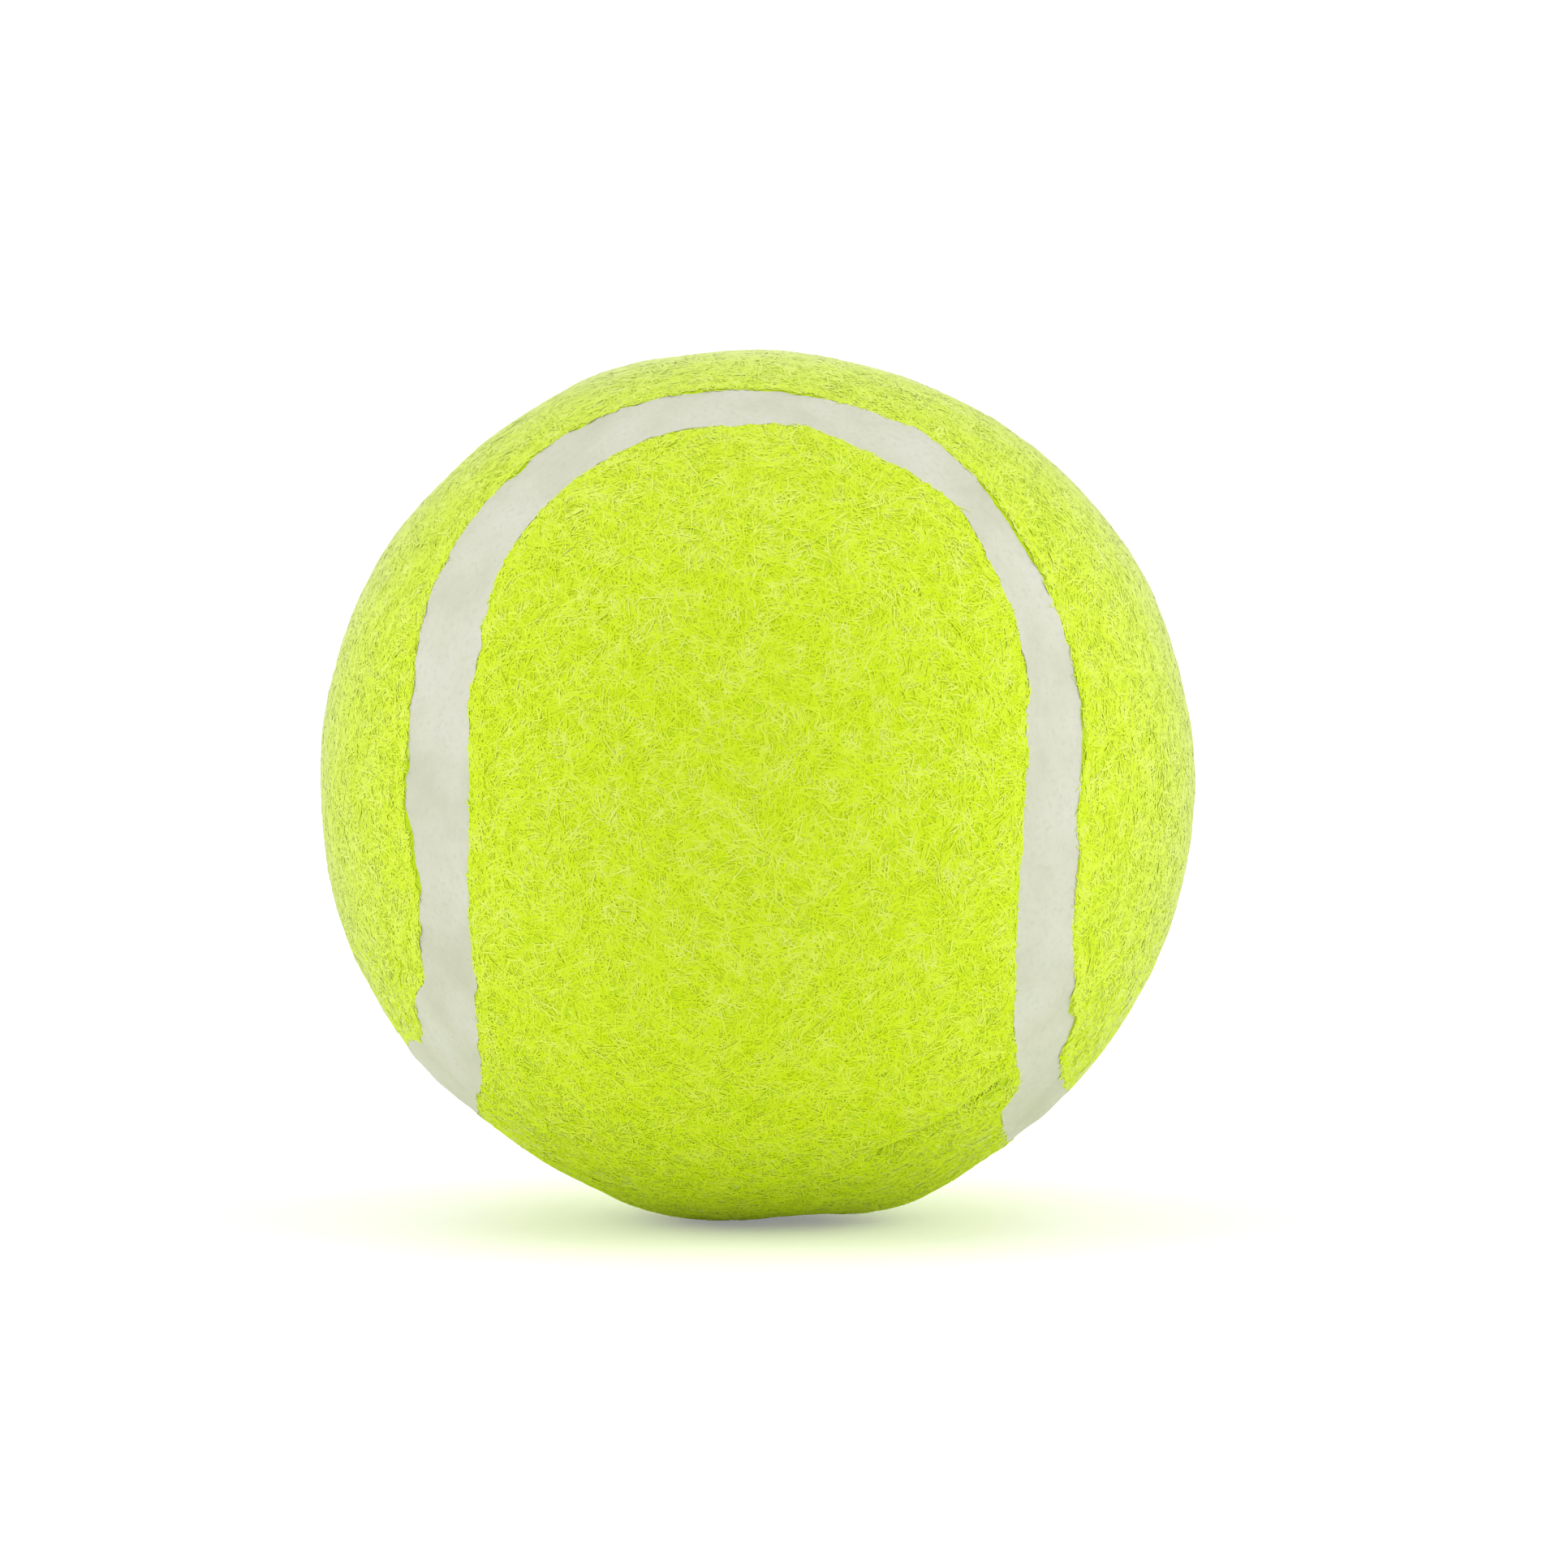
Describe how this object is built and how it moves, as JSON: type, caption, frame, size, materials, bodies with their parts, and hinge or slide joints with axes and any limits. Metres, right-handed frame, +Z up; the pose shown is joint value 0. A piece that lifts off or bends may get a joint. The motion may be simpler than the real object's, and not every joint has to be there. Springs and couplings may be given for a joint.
{
  "type": "dog chew ball",
  "caption": "Felt-covered hollow rubber ball for dogs to fetch and chew, with interlocking dog-bone felt panels and a closed off-white rubber seam.",
  "frame": {"origin": "centre of the ball", "axes": "+Z up, square to the joint of the rubber core; -Y towards the viewer of the picture; +X to the viewer's right"},
  "size_m": [0.065, 0.065, 0.065],
  "materials": {
    "core_rubber": "matte, moulded",
    "cement": "matte film",
    "felt": "raised fibre nap",
    "seam_rubber": "matte, slightly mottled"
  },
  "bodies": {
    "root": {"core_half_lower": "core_rubber", "core_half_upper": "core_rubber", "core_joint_cement": "cement", "panel_cement_a": "cement", "panel_cement_b": "cement", "felt_panel_a": "felt", "felt_panel_b": "felt", "seam_cement": "seam_rubber"}
  },
  "joints": []
}
